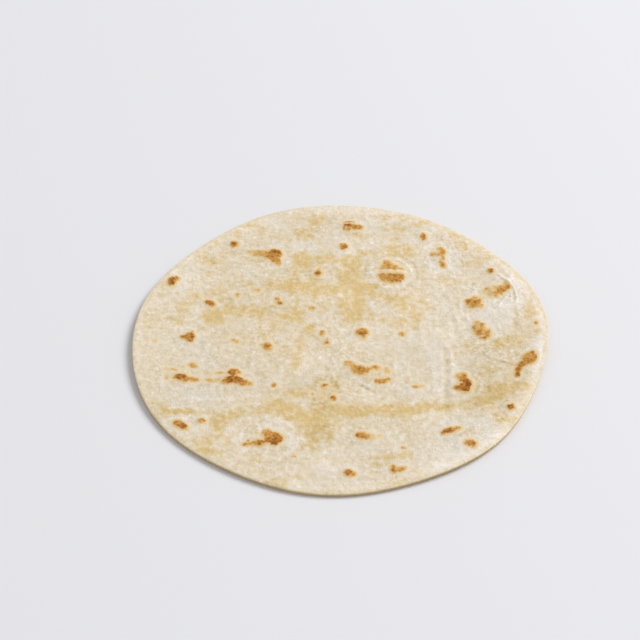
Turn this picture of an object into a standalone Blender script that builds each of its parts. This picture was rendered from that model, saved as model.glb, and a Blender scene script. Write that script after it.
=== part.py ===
"""A soft wheat flour tortilla of the 8 inch size, lying on its flat underside.

The round is one thin sheet of dough. Its middle is flat underneath and rests on the table, its rim
has warped upwards by a few millimetres in places, and its top has raised blisters, where bubbles of
steam swelled the dough on the griddle. Metres, +Z up; the origin is on the table, under the middle
of the round. The short tables below are in millimetres and degrees, which MM and math.radians turn
into the model's units.
"""
import math

import bmesh
import bpy

MM = 0.001

# Driving dimensions of the round
MEAN_RADIUS = 100.8 * MM
DOUGH_THICKNESS = 2.1 * MM
FLAT_SHARE = 0.62            # share of the radius, from the middle, that lies flat on the table

# The pressed dough isn't a true circle: (lobes round the rim, swell in mm, angle of a lobe's peak)
OUTLINE_LOBES = (
    (1, 0.8, 157.0),
    (2, 1.5, 26.0),
    (3, 0.3, -26.0),
    (4, 0.7, 13.0),
    (5, 0.2, 24.0),
    (6, 0.3, 13.0),
    (7, 0.6, 10.0),
)

# Where the rim has warped off the table: (angle, half width in degrees, height in mm)
RIM_LIFTS = (
    (6.0, 40.0, 3.2),
    (96.0, 24.0, 1.2),
    (172.0, 36.0, 2.6),
    (-118.0, 18.0, 0.5),
    (-58.0, 24.0, 0.9),
)

# The rounded rim: how far it reaches in, and how much it takes off above and below
RIM_ROUNDING = 2.6 * MM
RIM_DROP_ABOVE = 0.6 * MM
RIM_RISE_BELOW = 0.5 * MM

# Broad soft swells of the top: (x, y, half length, half width, turn in degrees, height), in mm
SWELLS = (
    (77.0, 17.0, 24.0, 18.0, 80.0, 1.2),
    (-22.0, 38.0, 40.0, 24.0, 10.0, 0.4),
    (-60.0, -38.0, 30.0, 22.0, -30.0, 0.4),
    (36.0, -40.0, 30.0, 18.0, 15.0, 0.3),
)

# Blisters that the griddle toasted: (x, y, half length, half width, turn in degrees, height), in mm
BLISTERS = (
    (-87.0, 37.5, 7.0, 6.0, 80.0, 0.6),
    (-57.0, 68.5, 6.0, 5.5, 0.0, 0.5),
    (-37.0, 59.5, 12.0, 8.5, -15.0, 0.8),
    (5.0, 83.5, 11.0, 7.5, -5.0, 0.8),
    (0.5, 67.5, 6.0, 5.5, 0.0, 0.5),
    (-12.5, 46.5, 6.0, 5.5, 0.0, 0.5),
    (25.0, 47.5, 14.0, 12.5, 0.0, 1.1),
    (42.5, 76.0, 6.5, 5.0, 90.0, 0.5),
    (51.0, 61.0, 13.0, 7.5, 90.0, 0.7),
    (76.5, 49.0, 5.5, 5.0, 0.0, 0.5),
    (79.5, 34.0, 12.0, 8.0, 35.0, 0.7),
    (66.5, 25.0, 9.5, 8.0, 10.0, 0.7),
    (69.0, 5.0, 10.0, 7.5, 100.0, 0.8),
    (91.0, -18.0, 13.0, 7.0, 60.0, 0.7),
    (10.5, 3.0, 8.0, 6.5, 0.0, 0.6),
    (-66.5, 22.5, 6.5, 5.5, -30.0, 0.5),
    (-75.0, -1.5, 8.0, 6.5, 20.0, 0.7),
    (-36.0, -7.5, 7.0, 5.5, -70.0, 0.5),
    (-76.0, -28.0, 11.0, 7.5, 0.0, 0.6),
    (-51.0, -29.5, 11.0, 8.0, -10.0, 0.8),
    (12.0, -24.0, 15.0, 9.5, -20.0, 0.9),
    (59.0, -31.5, 9.5, 9.0, 90.0, 0.9),
    (80.0, -46.0, 5.5, 5.0, 0.0, 0.5),
    (-75.0, -60.0, 8.0, 6.0, -35.0, 0.6),
    (-65.0, -57.5, 5.0, 5.0, 0.0, 0.4),
    (-33.0, -68.0, 12.5, 9.0, 5.0, 0.8),
    (11.5, -65.5, 9.5, 7.0, 0.0, 0.6),
    (56.0, -65.5, 12.0, 9.5, -25.0, 0.9),
    (4.5, -87.5, 6.0, 5.5, 0.0, 0.5),
    (26.5, -85.0, 8.0, 5.5, 10.0, 0.5),
)

# The mesh: rings of the grid from the middle to the rim, and how far in from the rim the last ones lie
RINGS = 26
RIM_INSETS = (0.0, 0.4 * MM, 1.2 * MM, RIM_ROUNDING)

# Finish, as the mean of the pale dough and its toast
DOUGH_COLOUR = (0.76, 0.67, 0.52, 1.0)
DOUGH_ROUGHNESS = 0.75


def clear_scene():
    """Removes the objects of the scene that the script starts in."""
    for thing in list(bpy.context.scene.objects):
        bpy.data.objects.remove(thing, do_unlink=True)


def outline_radius(angle):
    """The round's radius at an angle about its middle."""
    swell = sum(size * math.cos(count * (angle - math.radians(peak)))
                for count, size, peak in OUTLINE_LOBES)
    return MEAN_RADIUS + swell * MM


def outline_middle(steps=720):
    """The middle of the box round the outline, which is set on the origin."""
    turns = [2.0 * math.pi * step / steps for step in range(steps)]
    across = [outline_radius(turn) * math.cos(turn) for turn in turns]
    along = [outline_radius(turn) * math.sin(turn) for turn in turns]
    return (max(across) + min(across)) / 2.0, (max(along) + min(along)) / 2.0


def square_angle(u, v):
    """The angle at which a point of a square ring lies once the ring is bent to a circle."""
    quarter = math.pi / 4.0
    if u == 0.0 and v == 0.0:
        return 0.0
    if abs(u) >= abs(v):
        return quarter * v / u + (math.pi if u < 0.0 else 0.0)
    return 2.0 * quarter - quarter * u / v + (math.pi if v < 0.0 else 0.0)


def ring_radius(ring, angle):
    """The radius of a ring of the mesh: even rings inside, then closer ones round the rim."""
    rim = outline_radius(angle)
    steps_in = RINGS - ring
    if steps_in < len(RIM_INSETS):
        return rim - RIM_INSETS[steps_in]
    even_rings = RINGS - len(RIM_INSETS) + 1
    return (rim - RIM_ROUNDING) * ring / even_rings


def rim_lift(angle):
    """How far the warped rim stands off the table at an angle."""
    lift = 0.0
    for middle, half_width, height in RIM_LIFTS:
        away = (math.degrees(angle) - middle + 180.0) % 360.0 - 180.0
        lift += height * math.exp(-(away / half_width) ** 2)
    return lift * MM


def rim_roundness(inset):
    """0 on the flat of the dough and 1 at the outermost edge, along a quarter of an ellipse."""
    reach = max(0.0, 1.0 - inset / RIM_ROUNDING)
    return 1.0 - math.sqrt(1.0 - reach ** 2)


def dome(x, y, bump):
    """The height at (x, y) of a soft oval dome, a row of SWELLS or BLISTERS."""
    centre_x, centre_y, half_length, half_width, turn, height = bump
    away_x = x / MM - centre_x
    away_y = y / MM - centre_y
    cosine = math.cos(math.radians(turn))
    sine = math.sin(math.radians(turn))
    along = (away_x * cosine + away_y * sine) / half_length
    across = (away_y * cosine - away_x * sine) / half_width
    distance_squared = along ** 2 + across ** 2
    if distance_squared >= 1.0:
        return 0.0
    return height * MM * (1.0 - distance_squared) ** 2


def sheet_heights(radius, angle, x, y):
    """The heights of the underside and of the top at one place of the round."""
    rim = outline_radius(angle)
    warp = max(0.0, (radius / rim - FLAT_SHARE) / (1.0 - FLAT_SHARE))
    lift = rim_lift(angle) * warp ** 2
    roundness = rim_roundness(rim - radius)
    raised = sum(dome(x, y, bump) for bump in SWELLS + BLISTERS)
    underside = lift + RIM_RISE_BELOW * roundness
    top = lift + DOUGH_THICKNESS + raised * (1.0 - roundness) - RIM_DROP_ABOVE * roundness
    return underside, top


def split_outwards(sheet):
    """Splits each square of the grid from its vertex nearest the middle to the one across from it."""
    for face in list(sheet.faces):
        corners = list(face.verts)
        start = min(range(4), key=lambda place: corners[place].co.xy.length)
        bmesh.utils.face_split(face, corners[start], corners[(start + 2) % 4])


def bend_to_round(sheet):
    """Bends the square grid to the round underside, and returns the layer that holds the top's height."""
    top = sheet.verts.layers.float.new("top")
    middle_x, middle_y = outline_middle()
    for vertex in sheet.verts:
        u, v = vertex.co.x, vertex.co.y
        ring = round(max(abs(u), abs(v)) * RINGS)
        angle = square_angle(u, v)
        radius = ring_radius(ring, angle)
        x = radius * math.cos(angle) - middle_x
        y = radius * math.sin(angle) - middle_y
        underside, vertex[top] = sheet_heights(radius, angle, x, y)
        vertex.co = (x, y, underside)
    return top


def tortilla_mesh():
    """The whole tortilla as one closed mesh, extruded upwards from the sheet of its underside."""
    sheet = bmesh.new()
    bmesh.ops.create_grid(sheet, x_segments=2 * RINGS, y_segments=2 * RINGS, size=1.0)
    split_outwards(sheet)
    top = bend_to_round(sheet)
    raised = bmesh.ops.extrude_face_region(sheet, geom=list(sheet.faces), use_keep_orig=True)
    for part in raised["geom"]:
        if isinstance(part, bmesh.types.BMVert):
            part.co.z = part[top]
    sheet.verts.layers.float.remove(top)
    bmesh.ops.recalc_face_normals(sheet, faces=list(sheet.faces))
    mesh = bpy.data.meshes.new("tortilla")
    sheet.to_mesh(mesh)
    sheet.free()
    mesh.shade_smooth()
    return mesh


def dough_material():
    """The toasted flour dough."""
    material = bpy.data.materials.new("flour_dough")
    material.use_nodes = True
    shader = material.node_tree.nodes["Principled BSDF"]
    shader.inputs["Base Color"].default_value = DOUGH_COLOUR
    shader.inputs["Roughness"].default_value = DOUGH_ROUGHNESS
    shader.inputs["Metallic"].default_value = 0.0
    return material


def build_tortilla():
    """Puts the tortilla, with its material, in a collection of its own."""
    collection = bpy.data.collections.new("Tortilla")
    bpy.context.scene.collection.children.link(collection)
    tortilla = bpy.data.objects.new("tortilla", tortilla_mesh())
    tortilla.data.materials.append(dough_material())
    collection.objects.link(tortilla)


clear_scene()
build_tortilla()
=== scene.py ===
"""The looks of a soft wheat flour tortilla of the 8 inch size, lying on its flat underside.

The plain solid of the frame is replaced by one fine mesh of the same form, with its toasted marks,
golden patches, creases and small bubbles. Lengths are in millimetres and angles in degrees, until MM
and math.radians turn them into Blender's units. +Z is up, and the origin is on the table.
"""
import math

import bmesh
import bpy
import numpy as np
from mathutils import Matrix, Vector, noise


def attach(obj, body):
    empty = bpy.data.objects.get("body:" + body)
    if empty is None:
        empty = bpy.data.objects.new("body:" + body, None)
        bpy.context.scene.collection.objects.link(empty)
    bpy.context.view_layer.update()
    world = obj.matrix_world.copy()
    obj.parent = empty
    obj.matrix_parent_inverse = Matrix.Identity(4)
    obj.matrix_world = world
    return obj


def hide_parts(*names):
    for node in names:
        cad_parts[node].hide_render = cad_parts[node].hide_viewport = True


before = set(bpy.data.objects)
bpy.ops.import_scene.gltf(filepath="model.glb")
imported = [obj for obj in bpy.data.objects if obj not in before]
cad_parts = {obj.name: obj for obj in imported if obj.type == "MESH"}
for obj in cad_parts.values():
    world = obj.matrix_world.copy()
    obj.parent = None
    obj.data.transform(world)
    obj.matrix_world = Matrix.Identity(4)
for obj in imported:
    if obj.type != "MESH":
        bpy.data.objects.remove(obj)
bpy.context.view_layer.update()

MM = 0.001

# ------------
# The form of the dough, as in the solid but a hair inside it
# ------------
MEAN_RADIUS = 100.78
DOUGH_THICKNESS = 2.1
FLAT_SHARE = 0.62            # share of the radius, from the middle, that lies flat on the table

# The pressed dough isn't a true circle: (lobes round the rim, swell, angle of a lobe's peak)
OUTLINE_LOBES = (
    (1, 0.8, 157.0),
    (2, 1.5, 26.0),
    (3, 0.3, -26.0),
    (4, 0.7, 13.0),
    (5, 0.2, 24.0),
    (6, 0.3, 13.0),
    (7, 0.6, 10.0),
)

# Where the rim has warped off the table: (angle, half width in degrees, height)
RIM_LIFTS = (
    (6, 40, 3.19),
    (96, 24, 1.2),
    (172, 36, 2.6),
    (-118, 18, 0.5),
    (-58, 24, 0.9),
)

# The rounded rim: how far it reaches in, and how much it takes off above and below
RIM_ROUNDING = 2.6
RIM_DROP_ABOVE = 0.6
RIM_RISE_BELOW = 0.5

# Each row of the tables of ovals is (x, y, half length, half width, turn, height or strength), and the
# turn is left out where it is 0.
#
# Broad soft swells of the top
SWELLS = ((77, 17, 24, 18, 80, 1.2), (-22, 38, 40, 24, 10, 0.4), (-60, -38, 30, 22, -30, 0.4),
          (36, -40, 30, 18, 15, 0.3))

# Blisters that the griddle toasted
BLISTERS = (
    (-87, 37.5, 7, 6, 80, 0.6), (-57, 68.5, 6, 5.5, 0.5), (-37, 59.5, 12, 8.5, -15, 0.8),
    (5, 83.5, 11, 7.5, -5, 0.8), (0.5, 67.5, 6, 5.5, 0.5), (-12.5, 46.5, 6, 5.5, 0.5),
    (25, 47.5, 14, 12.5, 1.1), (42.5, 76, 6.5, 5, 90, 0.5), (51, 61, 13, 7.5, 90, 0.7),
    (76.5, 49, 5.5, 5, 0.5), (79.5, 34, 12, 8, 35, 0.7), (66.5, 25, 9.5, 8, 10, 0.7),
    (69, 5, 10, 7.5, 100, 0.8), (91, -18, 13, 7, 60, 0.7), (10.5, 3, 8, 6.5, 0.6),
    (-66.5, 22.5, 6.5, 5.5, -30, 0.5), (-75, -1.5, 8, 6.5, 20, 0.7), (-36, -7.5, 7, 5.5, -70, 0.5),
    (-76, -28, 11, 7.5, 0.6), (-51, -29.5, 11, 8, -10, 0.8), (12, -24, 15, 9.5, -20, 0.9),
    (59, -31.5, 9.5, 9, 90, 0.9), (80, -46, 5.5, 5, 0.5), (-75, -60, 8, 6, -35, 0.6),
    (-65, -57.5, 5, 5, 0.4), (-33, -68, 12.5, 9, 5, 0.8), (11.5, -65.5, 9.5, 7, 0.6),
    (56, -65.5, 12, 9.5, -25, 0.9), (4.5, -87.5, 6, 5.5, 0.5), (26.5, -85, 8, 5.5, 10, 0.5),
)


# ------------
# What is finer than the solid
# ------------
# Toasted marks of the top, from 0.2 for a light singe to 1.3 for char
TOAST = (
    # upper left
    (-56.6, 67.6, 2.4, 2.4, 0.9), (-57.2, 67.7, 1.4, 1.6, 1.05),
    (-86.8, 36.8, 3.5, 2.3, 80, 1.0), (-86.9, 36, 2.2, 1.5, 80, 1.15), (-84.6, 39.2, 1.8, 1.8, 0.85),
    (-35.4, 60.4, 4.2, 4, 0.85), (-34.8, 61.9, 2.6, 1.6, -10, 1.2), (-38.8, 59.2, 3, 2.8, 0.6),
    (-35, 56.5, 2.6, 2.8, 20, 0.8), (-33, 53.9, 1.8, 2.6, 10, 0.55), (-42.8, 60.8, 4.8, 2.6, -6, 0.48),
    (-47.4, 62, 2.8, 1.5, -8, 0.42),
    (-66.6, 22.8, 2.8, 2, -30, 0.8), (-65.2, 21.5, 1.7, 1.9, -20, 0.85), (-67.8, 23.8, 1.2, 0.9, 0.9),
    (-64.4, 20.8, 0.9, 1.3, -20, 1.0),
    (-52.8, 29.4, 1.1, 1.8, 0.6), (-42.4, 32.8, 1.2, 1.5, 20, 0.45), (-44.6, 33.2, 1.6, 1.2, 0.22),
    (-32.6, 26.4, 1.3, 1.5, 0.6), (-31.2, 23.6, 1.9, 1.5, -20, 0.55), (-30.9, 23.2, 1.1, 1.0, 0.95),
    (-14.8, 19.9, 1.6, 1.6, -30, 0.58), (-17.3, 21.5, 1.8, 0.9, -25, 0.28),
    # upper middle
    (7.4, 82.4, 3.9, 2, 0.8), (4.2, 83.4, 2.6, 1.6, 0.9), (3.4, 83.7, 1.8, 1.1, 1.1),
    (3.8, 86.5, 3, 0.8, 0.62), (1.4, 82.6, 1.1, 2.6, 0.7), (3.3, 80.8, 1.4, 1.8, 0.42),
    (0.8, 67.2, 2.3, 2.6, 0.85), (1.6, 66.7, 1.2, 1.5, 1.15),
    (-12.1, 45.9, 2, 2.3, 0.95), (-11.8, 48.9, 0.8, 1.2, 0.6),
    (24, 51.8, 3.6, 2.9, 0.62), (23.6, 54.4, 2, 2.6, 0.6), (24.1, 51.9, 1.2, 1.2, 0.85),
    (22.4, 54.6, 0.8, 1.6, 10, 0.78), (25, 50.1, 5.2, 1.5, 0.6), (27.6, 51.2, 2, 1.9, 0.55),
    (30.8, 49.8, 1.8, 0.9, 0.42), (21.2, 49.6, 1.4, 1.2, 0.55),
    (25.6, 43.5, 6.4, 2.5, 0.74), (26, 41.6, 4.8, 2.4, 0.78), (30.4, 43.6, 2.1, 2.7, 0.8),
    (20.8, 44.6, 2.4, 1.5, 0.66), (22.2, 42.8, 2.6, 2.6, 0.72), (27, 41.2, 3.2, 1.4, 0.86),
    (22.4, 44.9, 3, 1.3, 0.75), (28.4, 45, 3.6, 1.2, 0.88),
    # upper right
    (43.1, 75.5, 1.7, 2.9, 0.85), (43.5, 75.3, 0.8, 1.8, 1.1),
    (52.5, 63.3, 1.9, 2.8, 0.7), (51.4, 65.8, 1.5, 1.4, 0.6), (52.9, 65.1, 0.9, 1.0, 0.95),
    (51.2, 61, 2.4, 1.4, 0.58), (47.8, 61.5, 2.2, 1.7, 0.5), (52.9, 58.4, 1.1, 1.8, 0.55),
    (51.2, 57, 0.8, 1.4, 0.35), (52.4, 53.6, 1.6, 2.5, 20, 0.7), (51.2, 55.3, 1.2, 1.2, 0.5),
    (76.7, 48.3, 1.8, 1.9, 0.85), (76.8, 48.1, 1.0, 1.1, 1.1),
    (74.3, 35, 1.3, 1.6, 0.52), (74.9, 32.4, 0.8, 2.4, 8, 0.4), (72.6, 33.6, 0.9, 1.3, 0.32),
    (76.7, 31, 0.8, 1.6, 20, 0.42), (77.8, 35.8, 0.8, 1.6, 20, 0.42), (79.2, 34.4, 0.9, 1.8, 24, 0.5),
    (78.3, 29.9, 1.2, 2, 10, 0.72), (80.5, 32, 1.1, 2.3, 24, 0.8), (82, 33.8, 1.2, 2.4, 24, 0.88),
    (83.4, 34.6, 1.0, 1.8, 24, 0.52), (85.1, 35.5, 1.4, 1.5, 0.9), (83.7, 38.6, 1.4, 1.7, 20, 0.52),
    (84.8, 37.2, 1.2, 1.4, 0.52), (79, 33.4, 6.2, 2.6, 35, 0.22),
    (66.7, 24.8, 4, 3.5, 0.68), (63.8, 25.8, 1.6, 1.8, 0.94), (67.6, 28.2, 1.6, 1.7, 0.6),
    (69.9, 26.1, 1.1, 2, 0.9), (67.6, 24.2, 2.4, 1.4, 0.85), (70.4, 21.7, 1.6, 1.7, -20, 0.36),
    (66.5, 21.7, 2.6, 1.2, 0.5),
    (68.4, 5.6, 3.4, 4.9, -5, 0.42), (68.4, 2.6, 1.1, 2, 0.85), (65.9, 6.3, 0.9, 2, 0.75),
    (71, 8.9, 0.9, 0.7, 0.75), (67.6, 10.2, 1.9, 1.5, 10, 0.42), (69, 0.1, 0.8, 1.0, 0.95),
    (70.7, -0.2, 1.7, 1.2, 0.85), (72.4, 2.6, 1.9, 2.8, 10, 0.6), (69.5, 6.2, 0.6, 2.8, -5, 0.7),
    (71, 2.2, 0.8, 1.6, 15, 0.5), (73.4, 4.6, 0.9, 1.6, 0.45), (96.7, 9.2, 0.9, 1.1, 0.7),
    # middle
    (10.5, 2.9, 3.5, 2.7, 0.72), (11, 1.9, 2.4, 1.4, 0.95), (8.6, 3.7, 1.6, 1.6, 0.6),
    (11, 0, 1.0, 1.2, 0.6), (10.9, -1.7, 1.4, 1.4, 0.2),
    (30.2, 2.4, 1.7, 1.7, 0.62), (30.4, 1.5, 1.4, 0.8, 0.9),
    (-9.4, 2.2, 1.3, 2, -10, 0.68), (-9.8, 1.6, 0.7, 0.9, 0.9), (-7.4, -4.9, 1.6, 0.6, 8, 1.0),
    (-6.7, -2.4, 0.5, 1.3, 0.7), (-7.2, -3.6, 1.4, 1.5, 0.4),
    (-73.8, -1.6, 1.7, 3.4, 5, 0.95), (-76.4, -2.2, 2.9, 1.9, 0.85), (-75.4, -2.2, 2.2, 2.5, 0.9),
    (-74.6, -4, 1.8, 1.6, 0.85),
    (-73.6, 1.0, 0.9, 1.2, 0.7), (-52.1, -4, 2.1, 1.1, -32, 0.7), (-91.3, -5.8, 1.3, 1.5, 0.32),
    (-36, -7.8, 2.3, 3.1, 22, 0.75), (-36.4, -7, 1.3, 1.0, 1.0), (-35, -9.5, 0.9, 1.2, 0.75),
    (-38.6, -6.8, 1.6, 0.4, -5, 0.6), (-34.2, -6.4, 0.7, 0.5, 0.6),
    # lower left
    (-71.8, -21.4, 2.3, 1.9, -20, 0.48), (-70.4, -22.6, 1.6, 1.2, -10, 0.45),
    (-71.6, -19.6, 1.2, 0.7, 0.27), (-80.4, -24.9, 2, 0.9, -15, 0.45), (-81.6, -24.2, 0.8, 0.8, 0.5),
    (-84.4, -24.2, 1.2, 0.9, 0.27),
    (-76.8, -29.9, 3.8, 2.2, 0.85), (-78.9, -30.5, 1.6, 1.1, 1.05), (-76, -28.9, 2.2, 1.1, 8, 1.05),
    (-74.6, -31.9, 1.4, 1.6, 0.9), (-70.8, -31.1, 3, 1.5, -3, 0.7), (-69.6, -31, 1.2, 0.9, 0.8),
    (-83.5, -30, 1.0, 1.6, 0.33), (-80.5, -33, 0.6, 0.8, 0.35),
    (-62, -31.5, 2.9, 1.4, -10, 0.38), (-63.9, -30.8, 0.9, 0.8, 0.5), (-58.6, -30.8, 1.1, 0.7, 0.6),
    (-61.5, -32.4, 1.2, 0.7, 0.45), (-58.2, -26.2, 2.3, 0.9, -5, 0.42), (-57.6, -26.2, 0.9, 0.6, 0.55),
    (-52.2, -25.9, 2.3, 2.2, 0.92), (-51.6, -24, 2.3, 1.2, 0.6), (-49.2, -26, 1.6, 1.6, -20, 0.55),
    (-53.4, -26.2, 1.0, 1.5, 1.1), (-51.6, -30.7, 3.8, 2.6, 1.02), (-51.6, -28.1, 1.4, 1.2, 0.7),
    (-49, -31.7, 3.2, 2.3, -10, 0.92), (-55, -32.2, 2.3, 1.9, 0.75), (-52.4, -31.3, 2, 1.2, 1.1),
    (-46.4, -32.7, 3, 2.2, -8, 0.78), (-43.6, -33.2, 2, 1.6, 0.52),
    (-31.8, -33.5, 1.3, 1.5, 0.58), (-31.5, -33, 0.7, 0.8, 0.75),
    (-74.4, -60.4, 4.2, 2.3, -32, 0.75), (-72.6, -61.3, 1.7, 1.8, 1.05), (-77, -59, 0.9, 1.5, 0.85),
    (-71, -62.9, 0.6, 1.0, 1.0), (-64.9, -57.7, 2.1, 1.6, 0.6), (-63.3, -57.9, 0.6, 1.1, 0.75),
    (-33.8, -65.1, 2.4, 3.2, 0.62), (-30.6, -67.2, 3.4, 3.4, -30, 0.85),
    (-27.6, -67.8, 1.9, 2.4, -20, 0.85), (-30.6, -69.6, 3.2, 2.2, -10, 1.1),
    (-30.4, -71.4, 1.8, 1.1, 1.3), (-33.6, -69.4, 1.9, 1.9, 0.95),
    (-37.2, -71, 3, 2, 0.8), (-37, -71.4, 1.2, 0.9, 0.95), (-43, -71.4, 2.1, 1.3, 10, 0.75),
    (-40.2, -70.9, 1.8, 1.2, 10, 0.6), (-42.2, -69.4, 0.6, 1.0, 0.6),
    (-20.8, -78.5, 1.2, 0.5, 0.6), (-20.8, -77.4, 1.2, 0.7, 0.25),
    # lower middle
    (4.2, -18.9, 2.9, 2.1, -25, 0.46), (2.6, -17.5, 1.2, 0.6, 0.5), (9, -23.4, 4.3, 3.2, -20, 0.66),
    (10.2, -23, 2.6, 2, -20, 0.9), (6.2, -21.1, 2, 1.8, 0.55), (12.4, -24.4, 1.3, 1.6, 0.7),
    (8.8, -25.3, 1.9, 1.3, 0.8), (16.8, -21.6, 2.4, 1.9, 0.55), (16.6, -21.2, 1.2, 0.9, 0.85),
    (14.2, -22.4, 2.2, 1.4, 0.5), (22, -21.6, 0.8, 0.7, 0.9), (22.6, -23.6, 1.6, 1.7, 0.4),
    (20, -30.2, 3.4, 1.7, 12, 0.68),
    (20, -30.6, 1.7, 1.2, 0.9), (22.9, -28.8, 1.5, 1.2, 20, 0.75), (17.4, -29.7, 1.2, 1.2, 0.5),
    (-7.6, -33.5, 2, 1.2, 20, 0.75), (-8.2, -33.8, 1.2, 0.9, 0.95), (-3.5, -41.7, 1.6, 1.9, 0.7),
    (-4.3, -41.4, 0.6, 1.2, 1.0), (-3.2, -37, 0.8, 0.7, 0.55), (-8.8, -41.8, 0.8, 1.0, 0.55),
    (-13, -39, 0.8, 1.1, 0.48), (-8.6, -36.2, 0.7, 0.9, 0.5), (-8, -38.4, 1.0, 0.7, 0.4),
    (36.4, -33.6, 2.3, 1.3, 0.5), (35.6, -34, 1.1, 0.8, 0.65), (39, -33, 1.5, 0.6, 20, 0.5),
    (10, -65.4, 3.1, 2.3, -5, 0.7), (7.9, -65.6, 0.9, 1.3, 1.0), (11.6, -66.6, 1.7, 0.9, -10, 0.88),
    (14.6, -66.2, 2.2, 2.4, 0.3), (18.3, -65.3, 0.8, 0.8, 0.5), (29.4, -72.3, 1.3, 0.7, -20, 0.6),
    (4.3, -88.2, 2.6, 2.1, -20, 0.92), (6.5, -88.6, 1.3, 1.4, 0.72),
    (24.3, -85.5, 1.6, 2.6, 0.72), (24.6, -87.1, 0.9, 1.0, 1.0), (26.8, -86, 2.3, 1.7, 0.55),
    (28.9, -85, 1.7, 1.0, 5, 0.8),
    # lower right
    (57, -26.4, 2.4, 2.3, 0.5), (59.6, -26.6, 1.5, 3.2, 8, 0.85), (60.9, -31.6, 2.3, 3.2, 1.1),
    (61.2, -31.6, 1.8, 2.4, 1.25), (59.6, -35.1, 2.4, 2.2, 1.05), (56.4, -34.3, 2.6, 1.7, 0.9),
    (58.2, -32.6, 1.9, 1.8, 0.95), (59.6, -37, 0.8, 1.0, 0.8), (59.4, -29.8, 2, 2.8, 0.98),
    (57.6, -29.2, 1.3, 1.7, 0.5),
    (91.6, -15.3, 3.5, 4.6, -20, 0.68), (91, -17.3, 2.6, 1.8, 30, 0.9), (88.6, -14.7, 0.9, 1.4, 0.75),
    (93.4, -11.8, 1.4, 1.8, 0.8), (94.4, -15.2, 0.8, 3, -10, 0.8), (87.4, -19.4, 2.5, 2.1, 40, 0.85),
    (85.7, -22, 1.8, 2.5, -10, 0.8), (84.9, -25.5, 1.4, 2.2, 0.85),
    (80.3, -47, 1.9, 1.9, 0.95), (81.2, -45.8, 0.8, 1.4, 0.95), (81, -48, 0.9, 0.8, 1.1),
    (71.1, -46.8, 1.2, 0.7, 15, 0.45),
    (50.6, -61.9, 3.9, 2.1, 20, 0.88), (48.2, -62.8, 1.3, 1.3, 0.95), (54.4, -60.4, 2.2, 1.5, 15, 0.6),
    (50, -63.2, 1.4, 1.0, 0.9), (60, -69.5, 2.6, 2, 0.82), (61.6, -70.6, 1.5, 2, -15, 0.95),
    (58.2, -69.7, 1.2, 1.0, 0.95),
)

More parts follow.
